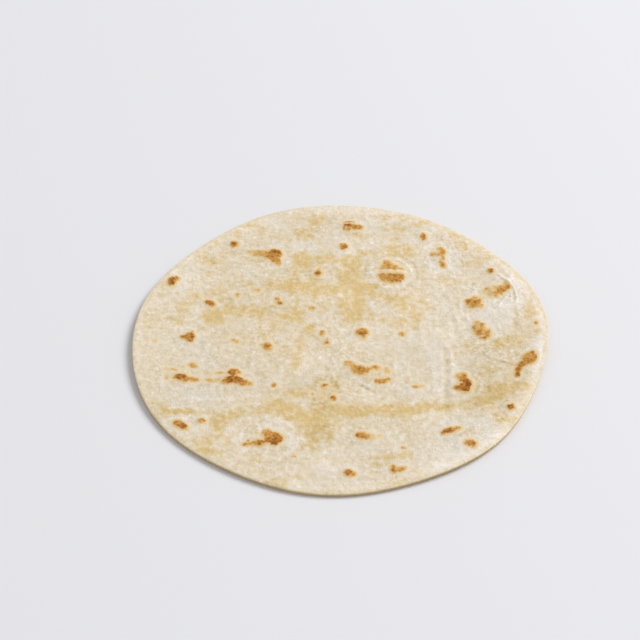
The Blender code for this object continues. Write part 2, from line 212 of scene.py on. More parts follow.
# Golden patches, where the dough lay on the hot plate without a blister
GOLD = (
    # upper left
    (-20, 77, 5, 4.5, 0.6), (-15, 86.5, 3.5, 6, -15, 0.45), (-11.5, 89.5, 2.5, 2, 0.4),
    (-24, 90, 2.5, 2, 0.3), (-42.5, 79, 2.2, 3.2, 0.4), (-56, 75.5, 2.5, 2.5, 0.3),
    (-50, 85, 7, 4, 30, 0.2), (-73, 57.5, 2.5, 3, 0.3), (-62, 60, 1.8, 3.5, 0.3),
    (-68, 67, 4, 3, 40, 0.2), (-68, 53, 5, 3, 0.4), (-68.5, 44, 3, 2.5, 0.35),
    (-74.5, 27, 4, 2.5, -30, 0.45), (-79, 21, 4.5, 2.5, 20, 0.4), (-81, 15, 2.5, 8, 0.45),
    (-85.5, 10, 5, 2, 0.4), (-95, 6, 3.5, 12, 0.2), (-64, 32, 3.5, 4.5, 0.45),
    (-64, 14, 7, 6, 0.68), (-52, 18, 11, 4.5, -3, 0.66), (-41.5, 16.5, 4, 3.5, 0.6),
    (-60, 37, 5, 4, 0.2), (-48, 37, 5, 4, 0.25), (-30, 14, 7, 2.4, 0.45),
    (-23.5, 14, 4.5, 7, 0.5), (-16, 5, 3, 4.5, 15, 0.5), (-20.5, 55, 4.5, 8, 0.68),
    (-24, 46, 3.5, 6, 0.4), (-11, 57, 10, 3.6, 0.5), (-30, 37, 9, 4.5, 0.68),
    (-22, 34, 7, 5.5, 0.6), (-14.5, 36, 5, 10, 0.6), (-6, 34, 9, 5.5, 0.62),
    (-14, 24, 15, 6, 0.22),
    # upper right
    (5, 57, 6.5, 5.5, 0.62), (4, 47, 6, 7, 0.55), (6, 36, 9, 7, 0.75),
    (5, 22, 6.5, 10, 0.72), (6, 13, 5, 4.5, 0.5), (15, 35, 4.5, 4, 0.6),
    (20, 30, 7, 2.5, -20, 0.5), (28.5, 26, 8, 4.5, -28, 0.52), (38, 15, 4, 6.5, 0.5),
    (26, 12, 8, 2.4, 0.38), (33, 20, 5, 5, 0.4), (44, 22, 2, 3.5, 0.35),
    (12, 62, 6, 2.5, 0.42), (28, 65, 8.5, 5, 0.52), (36, 63, 4, 4, 0.3),
    (28, 81.5, 5.5, 3, 0.38), (27, 74, 3.5, 7, 0.28), (23, 91.5, 2.4, 2.4, 0.4),
    (32, 90, 2.2, 3, 0.3), (43, 87, 5.5, 2.2, 30, 0.45), (10, 76, 4, 2.6, 0.38),
    (5, 78.5, 3.5, 2, 0.3), (41, 42.5, 2.2, 4.5, 0.4), (55, 41, 7, 3, 0.25),
    (58, 77, 2.4, 2.4, 0.35), (63, 67, 4, 3, 0.35), (67, 54, 8, 2.4, 0.3),
    (74, 59, 4, 4, 0.35), (84, 53, 4, 3, 0.3), (90.5, 43, 2.5, 3.5, 20, 0.4),
    (94.5, 18, 3.2, 6, 0.5), (96.5, 7, 2.4, 6, 0.45), (90, 9, 4.5, 9, 0.22),
    (86, -3, 5, 4, 0.55), (78, -3.5, 6, 4, 0.42), (66, -4, 6, 5, 0.28),
    # lower left
    (-83, -52, 4.5, 4, 30, 0.52), (-86, -46.5, 4, 2, 0.3), (-75, -51.5, 7, 1.8, 0.42),
    (-66, -52, 8, 1.5, 0.4), (-57, -57, 5, 5.5, 0.6), (-50, -53, 7, 3, 20, 0.5),
    (-57, -64.5, 2.4, 4, 0.4), (-62.5, -73, 4.5, 5.5, 0.38), (-57.5, -76.5, 4, 2.5, 0.4),
    (-42, -50.5, 9, 3, 5, 0.36), (-30, -47, 8, 5, 0.76), (-21, -52, 8, 5, -12, 0.76),
    (-12, -59, 6.5, 8.5, 10, 0.76), (-12.5, -68, 4.2, 5.5, -10, 0.6), (-16, -73, 4.5, 2.2, 20, 0.42),
    (-25, -38, 8, 3.2, 0.36), (-17, -38.5, 4.5, 3.5, 0.38), (-9, -46, 5.5, 9, -10, 0.55),
    (-3.5, -37, 3.5, 5, 0.42), (-1.0, -47, 5, 4.5, 0.6), (-22.5, -15, 3.5, 8.5, -8, 0.45),
    (-20, -4, 2.5, 4, 0.35), (-7, -5, 2.4, 4.5, 0.5), (-38, -1.4, 1.4, 3.5, 15, 0.5),
    (-28, -94, 4, 2.4, 0.5), (-37, -80, 4, 3, 0.25), (-18, -90, 5, 2.6, 0.25),
    # lower right
    (5, -49.5, 9, 4.6, 0.75), (11.4, -51, 2.6, 2.2, 0.7), (15, -48.5, 4, 3, 0.5),
    (26, -49, 11, 4.2, 0.7), (38.5, -46.5, 5, 3.2, 0.55), (47, -46.6, 7, 2.4, 0.58),
    (55, -46, 6, 2.2, 5, 0.52), (63.5, -43.5, 8, 3.2, 20, 0.5), (69, -40.5, 6, 4, 0.5),
    (78, -35.5, 10, 6, 12, 0.55), (87, -33, 5, 3, 0.45), (71, -46.5, 2.4, 4, 0.4),
    (80, -54, 3.2, 3.2, 0.42), (68, -21, 8, 6, 0.28), (81.5, -25, 4, 5, 0.32),
    (25, -78, 7, 2.2, 5, 0.42), (19, -81, 4.5, 4, 0.28), (31.5, -74, 2.4, 4, 0.3),
    (27, -92, 3.4, 2.4, 0.4), (34, -87, 2.2, 3, 0.35), (-1.0, -80, 8, 3, 0.25),
    (18, -65, 3.4, 2.4, 0.4), (11, -61, 3, 1.6, 0.35), (75, -52.5, 4.5, 4, 0.45),
    # faint and broad
    (-60, 28, 9, 5, 0.35), (-45, 32, 6, 4, 0.25), (-36, 8, 7, 8, 0.22), (-12, 49, 7, 4, 0.3),
    (38, 27, 5, 7, 0.35), (31, 8, 7, 5, 0.25), (-11, 0, 6, 8, 0.25), (-7, -36, 8, 9, 0.4),
    (-15, -40, 12, 4, 0.35), (-50, -3, 8, 6, 0.2), (-30, -10, 9, 6, 0.2), (-55, -69, 9, 5, 0.25),
    (-21, -79, 7, 4, 0.2), (75, 66, 5, 8, 0.35), (70, -46, 7, 5, 0.2), (74, 31, 9, 5, 38, 0.5),
    (23, 51, 9, 8, 0.45), (88, -18, 6, 6, 0.25), (-88, 35, 5, 5, 0.2), (-40, 59, 8, 5, 0.45),
    (-78, -26, 9, 5, 0.3), (-58, -29, 10, 4, 0.38), (-3, -57, 5, 8, 0.35), (18, -25, 9, 6, 0.28),
    (61, -33, 6, 5, 0.35), (57, -63, 8, 4, 0.3), (50, 62, 4, 6, 0.28), (-80, 17, 4, 6, 0.25),
    (-31, 22, 5, 5, 0.3), (-18, 22, 5, 4, 0.3), (-37, -4, 4, 5, 0.3), (-35, -68, 9, 4, 0.3),
    (22, 39, 6, 3.5, 0.3), (33, 30, 5, 5, 0.25), (13, 15, 4, 4, 0.3), (-53, -38, 9, 4, 0.12),
    (61, 74, 7, 3, -40, 0.3), (-5, -67, 3, 4, 0.4), (80, 34, 6, 3.5, 38, 0.4),
)

# Patches that stayed floury and white
FLOURY = (
    (78, 19, 8.5, 15, 0.9), (84, 29, 6, 6, 0.6), (49, 55, 5, 7, 0.8),
    (57, 57, 5, 9, 0.8), (89, 38, 2.4, 8, 15, 0.6), (68.5, 34.5, 4, 4, 0.6),
    (17, 53, 2.8, 6, 0.7), (15, 84, 5.5, 7, 0.5), (0.0, 97, 15, 2.4, 0.4),
    (52, 20, 4.5, 12, 0.5), (-20, 67, 7, 4, 0.6), (-35, 68, 5, 2.6, 0.6),
    (-36, 85, 5.5, 5, 0.5), (-4, 74, 6, 4, 0.4), (-47, 48, 6, 6, 0.3),
    (-75, 48, 8, 7, 45, 0.4), (-81, 36, 3.5, 7, 0.5), (-71.5, 14, 2.4, 5, 0.6),
    (-65, -40, 14, 6, 0.75), (-70, -9, 9, 9, 0.4), (-65, -19, 6, 4.5, 0.6),
    (45.5, -16, 4, 16, 0.7), (30, -18, 6, 9, 0.4), (48, -35, 3.5, 5, 0.7),
    (40, -6, 14, 12, 0.4), (36, -36, 12, 5, 0.35), (56, -56, 10, 4, 0.5),
    (96.5, -22, 3, 8, -15, 0.8), (97, -3, 3, 5, 0.6), (55, -62, 9, 7, 0.8),
    (66, -60, 6, 9, 0.9), (52, -73, 12, 6, 0.7), (50, -82, 9, 4, 20, 0.6),
    (-22, -78, 4, 5, 0.5), (-21.5, -71, 2.6, 4, 0.6), (-8, -86, 7, 5, 0.5),
    (-33, -58.5, 6, 2.6, 0.5), (-45, -66, 2.6, 5, 0.4), (12, -72, 7, 5, 0.4),
    (5, -93, 6, 2.6, 0.4), (-83, 48, 6, 9, 0.3), (-84, -8, 9, 12, 0.3), (-75, -47, 7, 4, 0.5),
    (64, -19, 9, 7, 0.7), (50, -28, 6, 10, 0.4), (40, -76, 6, 9, 0.5), (-12, -93, 12, 5, 0.4),
    (-35, -80, 7, 4, 0.3), (20, -5, 11, 5, 0.35), (60, 5, 6, 12, 0.3), (27, 69, 7, 7, 0.6),
    (4, 60, 6, 5, 0.6), (3, 30, 3, 9, 0.65), (-14, 29, 9, 7, 0.5), (-96, 5, 5, 14, 0.35),
    (-62, 36, 5, 6, 0.4), (-35, -45, 6, 4, 0.4), (-16, -28, 7, 6, 0.25), (-1, -79, 8, 4, 0.7),
    (91, 18, 4, 11, 0.6), (80, -27, 4, 4, 0.5), (72, -66, 6, 6, 0.5), (35, 20, 5, 5, 0.3),
    (-73, -58, 9, 3.5, -10, 0.45), (-68, -27, 5, 5, 0.3), (48, 67, 4, 5, 0.4), (60, -63, 6, 5, 0.4),
    (28, -82, 8, 3, 0.35), (5, -86, 7, 4, 0.35),
)

# Patches that are paler all over or, where the last number is negative, darker: partly the dough's own,
# partly painted light and shade of its gentle waves
TONES = (
    (25, 68, 24, 9, 0.06), (2, 56, 6, 11, 0.06), (36, 25, 9, 13, 0.09), (43, 4, 11, 5, 0.06),
    (60, 45, 16, 10, 0.05), (-13, 34, 16, 8, 0.06), (4, 28, 7, 11, 0.08), (14, 38, 5, 5, 0.06),
    (-82, 52, 7, 11, 0.05), (20, -45, 13, 5, 0.05), (-16, -17, 9, 13, 0.08), (-75, 37, 14, 9, 0.05),
    (-3, -81, 13, 8, 0.08), (42, -50, 12, 10, 0.06), (-21, -55, 8, 5, 0.04), (-23, 62, 6, 8, 0.06),
    (88, 17, 10, 18, 0.06), (-45, 80, 12, 7, 30, 0.03), (46, -80, 12, 7, 25, 0.07), (74, -66, 6, 8, 0.07),
    (-50, -66, 6, 9, 0.06), (0, 10, 60, 20, 0.02), (-45, -44, 11, 4, 0.05),
    (-57, -30, 34, 15, -0.06), (67, -32, 12, 20, -0.10), (66, -9, 11, 7, -0.06),
    (-10, -3, 5, 7, -0.09), (-9, -37, 9, 12, -0.11), (15, -21, 11, 7, -0.07),
    (-61, 24, 13, 6, -0.04), (-12, 45, 6, 6, -0.07), (-23, -78, 9, 7, -0.04), (11, -68, 9, 8, -0.06),
    (-31, 22, 6, 5, -0.07), (-48, 36, 7, 5, -0.04), (82, 31, 8, 6, -0.12), (57, -62, 8, 5, -0.09),
    (-7, -64, 6, 8, -0.07), (-3, -16, 4, 9, -0.07), (-30, -95, 6, 5, -0.07), (-87, -54, 5, 9, -0.08),
    (-73, -4, 7, 8, -0.05), (-35, 62, 12, 7, -0.05), (-55, 66, 7, 7, -0.05), (27, 49, 9, 8, -0.05),
    (-21, -88, 5, 6, 0.07), (52, -67, 7, 4, 0.05), (47, 66, 3, 6, 0.05), (71, 20, 4, 10, 0.05),
    (32, 10, 4, 4, 0.05), (91, -40, 5, 8, -25, 0.05), (27, 60, 12, 6, 0.03), (-72, 22, 14, 8, 0.03),
    (-13, 18, 5, 5, -0.06), (-2, 19, 4, 4, -0.05), (13, 17, 5, 4, -0.05), (-13, -18, 4, 7, -0.05),
    (62, -25, 4, 5, -0.07), (8, -80, 8, 4, -0.05), (-22, 65, 4, 5, -0.05), (48, -46, 6, 3, -0.04),
    (-30, 93, 22, 5, 14, -0.05), (84, 52, 7, 5, -45, -0.06), (-84, 48, 7, 4, 52, -0.05),
    (-10, -4, 4, 4, -0.05), (73, 31, 9, 5, 38, 0.06), (33, 37, 4, 3, 0.05), (-31, -25, 5, 4, 0.05),
    (43, -26, 3, 8, 0.05),
)

# How the raised rim catches the light: (angle, half width in degrees, how much, how far in it reaches)
RIM_GLOW = (
    (17, 25, 0.20, 11.0),
    (-35, 38, 0.16, 6.5),
    (62, 36, 0.10, 12.0),
    (105, 34, 0.09, 12.0),
    (-95, 30, 0.07, 9.0),
    (150, 26, 0.07, 4.5),
    (-165, 20, 0.06, 5.0),
)

# Patches where the skin dried to a fine crackle, and those where it stayed smooth
CRACKLED = (
    (-8, -38, 8, 9, 1.0), (4, -22, 11, 12, 0.8), (-8, -55, 5, 5, 0.6),
    (74, -6, 15, 9, -10, 0.9), (58, 64, 12, 9, -40, 0.9), (76, -50, 8, 7, 1.0),
    (-68, 45, 6, 12, 10, 0.8), (-80, -29, 8, 6, 0.9), (-54, -33, 8, 4, 0.6),
    (-76, -54, 6, 6, 0.8), (-38, 56, 7, 7, 1.0), (-38, -2, 5, 9, 0.7),
    (-22, 45, 5, 6, 0.5), (-12, 80, 6, 5, 0.6), (8, 80, 6, 6, 0.6),
    (25, 46, 14, 10, 0.7), (75, 30, 16, 11, 20, 1.0), (48, 61, 6, 8, 0.8),
    (60, -60, 9, 7, 0.7), (-38, -60, 6, 5, 0.6), (90, 12, 6, 9, 0.6),
    (66, -34, 8, 6, 0.5), (-45, 45, 7, 5, 0.4), (-84, 4, 5, 7, 0.4),
)
SMOOTH = (
    (36, -6, 16, 13, 1.0), (5, 16, 6, 10, 0.8), (30, 27, 9, 5, 0.8),
    (-60, 10, 7, 12, 0.7), (-10, 68, 5, 8, 0.7), (22, 76, 8, 5, 0.7),
    (-90, 20, 7, 8, 0.6), (-6, -90, 14, 6, 0.7), (-61, 31, 5, 7, 0.6),
    (-92, -10, 6, 10, 0.6), (5, 38, 7, 8, 0.5), (-25, -28, 12, 6, 0.4),
)

# Small pits, as deep as their last number says
PITS = (
    (67, 38.8, 1.5, 1.7, 0.26), (-43.3, -85.9, 1.5, 1.4, 0.26), (-36.6, -57.6, 1.5, 1.3, 0.2),
    (-33.9, -56.8, 1.2, 1.1, 0.14), (-3.2, -59, 1.4, 1.3, 0.2), (16.8, 22.7, 1.5, 1.2, 0.2),
    (14.4, 35.4, 1.4, 1.4, 0.14), (35, -84.7, 1.3, 1.2, 0.18), (-58.4, -77.4, 1.4, 1.2, 0.2),
    (-76.4, -7, 1.3, 1.2, 0.14), (-12.5, -53, 1.4, 1.2, 0.14), (38.6, 13.6, 1.8, 1.6, 0.12),
    (-27.4, -83.4, 1.3, 1.2, 0.16), (-70.6, 38.6, 1.9, 2.2, 0.14), (65.4, -13.6, 1.5, 1.4, 0.16),
    (70.6, -58.4, 1.5, 1.3, 0.18), (73.2, -55.6, 1.4, 1.3, 0.18), (-24.6, -92.6, 1.4, 1.1, 0.16),
)

# Fine ridges and, where the strength is negative, grooves: (strength, half width, points along it)
CREASE_HEIGHT = 2.0          # of a crease whose strength is 1
CREASES = (
    # right
    (0.26, 0.6, ((81, 46), (83, 43.4), (85.5, 40.3), (87.5, 36.4), (88.7, 32), (89, 27), (88.2, 23))),
    (-0.15, 0.6, ((81.8, 42.6), (84.2, 39.6), (86.2, 35.8), (87.4, 31.6), (87.4, 26))),
    (0.11, 0.6, ((86.6, 43), (88.3, 40.3), (89.8, 36.5), (90.8, 31.5))),
    (0.16, 0.6, ((79.2, 20.8), (80.8, 24), (82.8, 28.4))),
    (0.16, 0.6, ((85, 37), (86.3, 32), (85.8, 24.5))),
    (0.10, 1.8, ((79, 56), (87.5, 46), (92.5, 38))),
    (-0.10, 1.4, ((87.2, 21), (87.4, 12), (86.6, 4))),
    (0.12, 0.6, ((70.8, 30.4), (73, 28), (75.6, 25.4))),
    (0.14, 0.6, ((60.6, 27.5), (60, 21), (61.2, 15))),
    (0.10, 0.6, ((63.2, 20.5), (63.4, 14), (64.4, 9.5))),
    (0.12, 0.6, ((56.2, 18), (58.8, 11.5), (58.4, 5))),
    (-0.12, 1.1, ((56.8, 13), (56.8, 5))),
    (0.10, 1.2, ((96.5, -5), (96.8, -12), (95.4, -19.5))),
    (-0.25, 0.7, ((69.5, -11), (72.5, -14.6), (79.4, -16.8), (84, -19.2))),
    (0.16, 0.6, ((72.8, -13), (79.6, -15.4), (84.4, -17.8))),
    # round the largest blister
    (0.18, 0.6, ((17.6, 48.2), (25, 47.8), (33, 47.4))),
    (0.08, 0.7, ((35.4, 51), (37, 45), (36.2, 39))),
    (0.08, 0.7, ((39.2, 51), (40.4, 45), (39.4, 39))),
    (0.12, 0.6, ((45, 66), (44.6, 60.5), (45.6, 55))),
    # middle
    (-0.22, 1.1, ((51.4, -9), (51.6, -24), (50.6, -34), (50.4, -46))),
    (0.12, 1.0, ((48.6, -10), (48.8, -25), (47.8, -40))),
    (0.10, 1.0, ((54, -10), (54.2, -24), (53.3, -38))),
    (0.08, 0.7, ((38.6, -8), (38.2, -15), (38.8, -22))),
    (0.08, 0.7, ((33.2, -12), (32.8, -21), (33.4, -30))),
    (0.08, 0.7, ((26.4, -15), (26.8, -25))),
    (0.08, 0.7, ((45.2, -10), (44.6, -20), (45, -30))),
    (-0.15, 0.6, ((-0.8, -22), (0.2, -26), (1.6, -29))),
    (-0.12, 0.6, ((-3.4, -22.4), (-2.6, -25.6), (-1.4, -28))),
    (0.10, 0.7, ((-5.2, -12), (-4.4, -15), (-3.2, -18))),
    (-0.28, 0.6, ((10, -33.4), (13.4, -35.6))),
    (0.22, 0.6, ((8.6, -30.8), (13.4, -33.8))),
    (-0.16, 0.7, ((15, -37.4), (22, -37.7), (28.5, -37.6))),
    # lower right
    (-0.14, 0.6, ((46.4, -63.8), (46.8, -65.8), (47.8, -67.8))),
    (-0.12, 0.6, ((56.4, -60.8), (60, -61.6), (63, -63.2))),
    (-0.09, 0.6, ((63.2, -63.6), (66.4, -66.6))),
)

# Wrinkled rings round the largest blisters: (x, y, radius, height)
RINGS_ROUND_BLISTERS = (
    (25.5, 47, 10.6, 0.10),
    (25.5, 47, 13.6, -0.10),
    (51, 61, 9.5, 0.08),
    (12, -25, 15, 0.08),
    (59, -31.5, 8.5, 0.08),
    (-33, -68, 13, 0.07),
    (69, 6, 9.5, 0.07),
    (5.5, 84, 9.5, 0.06),
)
RING_HALF_WIDTH = 0.8

# Layers of smooth bumps: (height, size, pattern, how many times as long in y as in x)
BROAD_BUMPS = ((0.10, 15.0, 1.5, 1.0), (0.07, 5.5, 2.5, 1.0))
RIPPLES = ((0.16, 4.2, 7.5, 5.0), (0.10, 2.0, 8.5, 5.0))

# Patterns of such bumps without their height: (size, pattern, how many times as long in y as in x)
UPRIGHT_WRINKLES = (3.4, 5.5, 2.2)
LEVEL_WRINKLES = (5.0, 10.5, 0.5)
DENTS = (2.2, 6.5, 1.3)
CREASE_WEAR = (4.0, 9.5, 1.0)
CRUST_BUMPS = (1.7, 4.5, 1.0)

# Where the upright ripples, right of the middle, fade in and then out again, in x and in y
RIPPLES_ACROSS = (18.0, 34.0, 54.0, 64.0)
RIPPLES_ALONG = (-48.0, -34.0, 8.0, 28.0)

# Small random bubbles: how many, their seed, how far out they lie in x and y, and the least and most of
# their radius, of the share of it that they are wide, and of their height
BUBBLES = (260, 3, 98.0, (1.4, 3.6), (0.7, 1.0), (0.05, 0.16))

# Thin wrinkles and the dents between them: (height on plain skin, how much more where it is crackled)
WRINKLE_HEIGHT = (0.05, 0.05)
DENT_HEIGHT = (0.08, 0.12)
CREST_LIMIT = 0.22           # how far from 0 the noise still makes a wrinkle
DENT_LIMIT = 0.2             # how high the noise may rise between dents
SMOOTHEST = -0.6             # the least crackled that skin counts as
CRUST_HEIGHT = 0.10
RELIEF_FADE = 5.0            # how far in from the rim the fine relief starts

# Random ovals of the hidden underside: how many, their seed, how far out they lie in x and y, how far
# apart, and the least and most of their half length, half width, turn and strength
UNDERSIDE_TOAST = (46, 8, 88.0, 13.0, ((1.2, 4.2), (0.9, 2.8), (0.0, 180.0), (0.35, 1.0)))
UNDERSIDE_GOLD = (34, 21, 90.0, 0.0, ((4.0, 14.0), (2.5, 8.0), (-20.0, 20.0), (0.3, 0.8)))
UNDERSIDE_REACH = 90.0       # how far from the middle they may lie
UNDERSIDE_CRACKLE = 0.3

# ------------
# The mesh
# ------------
RINGS = 136                  # rings of the top's grid from its middle to its rim; half as many below
RIM_SHARE = 1.0 / 17.0       # the share of them that rounds the rim
TOP, WALL, UNDERSIDE = 2, 1, 0
MOST_CORNERS = 1000000       # more than the mesh has
FAR_OUTSIDE = -30.0          # the depth in the toast that is given to places far from it
PALEST_TOAST = 0.2
SIDE_INSET = 1.2             # how much further out the wall and underside count as lying

# The map of the surface lays the top, its wall included, and the underside as two discs in a square
TOP_DISC = (0.352, 0.352)
UNDERSIDE_DISC = (0.762, 0.762)
MAP_PER_MM = 0.00332
UNDERSIDE_MAP_SHARE = 0.66
WALL_DROP = 1.1              # how far outside the rim the wall's middle lies on the map
UNDERSIDE_DROP = 1.6         # how far outside the rim the wall's lower edge lies on it

# Colours as they look in daylight, in red, green and blue of 255
DOUGH_STOPS = (
    (0.0, (234, 224, 208)),
    (0.5, (229, 209, 173)),
    (1.0, (223, 195, 140)),
)
PLAIN_WARMTH = 0.30
GOLD_WARMTH = 0.98
FLOUR_WARMTH = 0.32
SHADE_TINT = (0.9, 1.0, 1.5)     # how much red, green and blue feel a shade
# The white of flour, also painted on crests as a highlight
FLOUR_AND_HIGHLIGHT_WHITE = (243, 236, 223)
PORE_SHADE = (204, 184, 146)
HALO_COLOUR = (243, 228, 202)
# A painted highlight along the rim's lip
LIP_HIGHLIGHT = (243, 229, 199)
SIDE_COLOUR = (219, 186, 124)
SINGED_DOUGH = (231, 198, 142)
TOAST_STOPS = (
    (0.15, (228, 196, 132)),
    (0.45, (219, 175, 105)),
    (0.70, (206, 152, 78)),
    (0.92, (184, 124, 55)),
    (1.20, (140, 85, 30)),
)
DOUGH_ROUGHNESS = 0.85
CRUST_ROUGHNESS = 0.7
DOUGH_SHINE = 0.12

# ------------
# The studio, in metres
# ------------
FLOOR_COLOUR = (238, 238, 242)
FLOOR_ROUGHNESS = 0.7
FLOOR_HALF_WIDTH = 4.0
FLOOR_DROP = 0.00005         # a hair below the dough, so that they don't share a plane

LAMP_PLACE = (3.0, 1.8, 3.3)
LAMP_SIZE = 2.4
LAMP_POWER = 160.0
EVEN_LIGHT = 0.5

# Camera, at the photograph's viewing angle
CAMERA_PLACE = (-0.00067, -0.53159, 0.52679)
CAMERA_TARGET = (-0.01062, 0.01382, 0.0)
CAMERA_LENS = 85.0
CAMERA_SENSOR = 36.0


# ------------
# Form
# ------------
def outline_radius(angle):
    """The round's radius at an angle about its middle."""
    radius = MEAN_RADIUS
    for count, size, peak in OUTLINE_LOBES:
        radius = radius + size * np.cos(count * (angle - math.radians(peak)))
    return radius


def outline_middle(steps=720):
    """The middle of the box round the outline, which is set on the origin."""
    turns = np.arange(steps) * 2.0 * math.pi / steps
    across = outline_radius(turns) * np.cos(turns)
    along = outline_radius(turns) * np.sin(turns)
    return (across.max() + across.min()) / 2.0, (along.max() + along.min()) / 2.0


def square_angle(u, v):
    """The angle at which a point of a square ring lies once the ring is bent to a circle."""
    quarter = math.pi / 4.0
    sideways = quarter * v / np.where(u == 0.0, 1.0, u) + np.where(u < 0.0, math.pi, 0.0)
    upwards = 2.0 * quarter - quarter * u / np.where(v == 0.0, 1.0, v) + np.where(v < 0.0, math.pi, 0.0)
    return np.where(np.abs(u) >= np.abs(v), sideways, upwards)


def ring_radius(share, rim):
    """The radius of a ring at a share of the grid: in even steps, and then a quarter turn at the rim."""
    turn = np.clip((share - 1.0 + RIM_SHARE) / RIM_SHARE, 0.0, 1.0) * math.pi / 2.0
    inside = (rim - RIM_ROUNDING) * np.minimum(share / (1.0 - RIM_SHARE), 1.0)
    return inside + RIM_ROUNDING * np.sin(turn)


def rim_lift(angle):
    """How far the warped rim stands off the table at an angle."""
    lift = 0.0
    for middle, half_width, height in RIM_LIFTS:
        away = (np.degrees(angle) - middle + 180.0) % 360.0 - 180.0
        lift = lift + height * np.exp(-(away / half_width) ** 2)
    return lift


def rim_roundness(inset):
    """0 on the flat of the dough and 1 at the outermost edge, along a quarter of an ellipse."""
    reach = np.clip(1.0 - inset / RIM_ROUNDING, 0.0, 1.0)
    return 1.0 - np.sqrt(1.0 - reach ** 2)


def along_and_across(x, y, oval):
    """Places measured from an oval's middle, along it and across it."""
    away_x, away_y = x - oval[0], y - oval[1]
    turn = math.radians(oval[4]) if len(oval) > 5 else 0.0
    cosine, sine = math.cos(turn), math.sin(turn)
    return away_x * cosine + away_y * sine, away_y * cosine - away_x * sine


def dome(x, y, bump):
    """The height of a soft oval dome, such as a row of SWELLS or BLISTERS."""
    along, across = along_and_across(x, y, bump)
    distance_squared = (along / bump[2]) ** 2 + (across / bump[3]) ** 2
    return bump[-1] * np.maximum(0.0, 1.0 - distance_squared) ** 2


def oval_share(x, y, oval):
    """0 in the middle of an oval, and 1 on its edge."""
    along, across = along_and_across(x, y, oval)
    return np.hypot(along / oval[2], across / oval[3])


def oval_depth(x, y, oval):
    """How far inside an oval's edge a place lies, and less than 0 outside it."""
    along, across = along_and_across(x, y, oval)
    share = np.hypot(along / oval[2], across / oval[3])
    slope = np.hypot(along / oval[2] ** 2, across / oval[3] ** 2)
    middle = min(oval[2], oval[3])
    return np.where(share < 0.01, middle, share * (1.0 - share) / np.maximum(slope, 1e-6))


def line_distance(x, y, points):
    """The distance to a line through a few points."""
    nearest = np.full(x.shape, np.inf)
    for (start_x, start_y), (end_x, end_y) in zip(points, points[1:]):
        run_x, run_y = end_x - start_x, end_y - start_y
        share = ((x - start_x) * run_x + (y - start_y) * run_y) / (run_x ** 2 + run_y ** 2)
        share = np.clip(share, 0.0, 1.0)
        nearest = np.minimum(nearest, np.hypot(x - start_x - share * run_x, y - start_y - share * run_y))
    return nearest


def unevenness(x, y, size, pattern, upright):
    """Smooth noise from about -1 to 1 in a pattern such as DENTS."""
    return np.array([noise.noise((a, b, pattern)) for a, b in zip(x / size, y / (size * upright))])


def bumps(x, y, layers):
    """The height of a few layers of smooth bumps, such as RIPPLES, on top of each other."""
    return sum(height * unevenness(x, y, *pattern) for height, *pattern in layers)


def smooth_step(value, low, high):
    """0 below low, 1 above high and an S-curve in between."""
    share = np.clip((value - low) / (high - low), 0.0, 1.0)
    return share * share * (3.0 - 2.0 * share)


# ------------
# Toast and relief
# ------------
def random_ovals(count, seed, span, apart, limits):
    """Ovals for the hidden underside, as a row such as UNDERSIDE_TOAST says."""
    draw = np.random.default_rng(seed)
    ovals = []
    while len(ovals) < count:
        x, y = draw.uniform(-span, span, 2)
        clear = all(math.hypot(x - oval[0], y - oval[1]) > apart for oval in ovals)
        if clear and math.hypot(x, y) < UNDERSIDE_REACH:
            ovals.append((x, y, *[draw.uniform(low, high) for low, high in limits]))
    return ovals


def toast_depth(x, y, ovals):
    """How far inside the toast a place lies, and less than 0 outside it."""
    depth = np.full(x.shape, FAR_OUTSIDE)
    for oval in ovals:
        depth = np.maximum(depth, oval_depth(x, y, oval))
    return depth


def browning(x, y, ovals):
    """How dark the toast is at a place, darkest in the middle of its ovals."""
    brown = np.full(x.shape, PALEST_TOAST)
    for oval in ovals:
        share = oval_share(x, y, oval)
        core = 1.0 - smooth_step(share, 0.2, 1.1)
        brown = np.maximum(brown, oval[-1] * (0.78 + 0.22 * core) * (1.0 - smooth_step(share, 1.1, 1.8)))
    return brown


def patch_strength(x, y, patches):
    """How strong the patches are at a place, where they run into each other softly."""
    strength = np.zeros(x.shape)
    for patch in patches:
        here = patch[-1] * (1.0 - smooth_step(oval_share(x, y, patch), 0.45, 1.5))
        strength = np.hypot(strength, here)
    return strength


def tone(x, y, angle, inset):
    """How much lighter, or where it is negative darker, the dough is at a place: the TONES, partly painted
    light and shade, and the painted light that the raised rim catches.
    """
    light = np.zeros(x.shape)
    for patch in TONES:
        light += patch[-1] * (1.0 - smooth_step(oval_share(x, y, patch), 0.2, 1.5))
    for middle, half_width, strength, reach in RIM_GLOW:
        away = (np.degrees(angle) - middle + 180.0) % 360.0 - 180.0
        band = smooth_step(inset, 0.3, 2.5) * (1.0 - smooth_step(inset, 2.5, reach))
        light += strength * np.exp(-(away / half_width) ** 2) * band
    return light


def crease_relief(x, y):
    """The height of the creases and of the rings round the largest blisters."""
    height = np.zeros(x.shape)
    for strength, half_width, points in CREASES:
        height += strength * np.exp(-(line_distance(x, y, points) / half_width) ** 2)
    for ring_x, ring_y, radius, strength in RINGS_ROUND_BLISTERS:
        off_ring = np.hypot(x - ring_x, y - ring_y) - radius
        height += strength * np.exp(-(off_ring / RING_HALF_WIDTH) ** 2)
    return height * CREASE_HEIGHT * (0.75 + 0.5 * unevenness(x, y, *CREASE_WEAR))


def ripple_relief(x, y):
    """The soft upright ripples right of the middle."""
    window = 1.0
    for place, (start, whole, fading, end) in ((x, RIPPLES_ACROSS), (y, RIPPLES_ALONG)):
        window = window * smooth_step(place, start, whole) * (1.0 - smooth_step(place, fading, end))
    return window * bumps(x, y, RIPPLES)


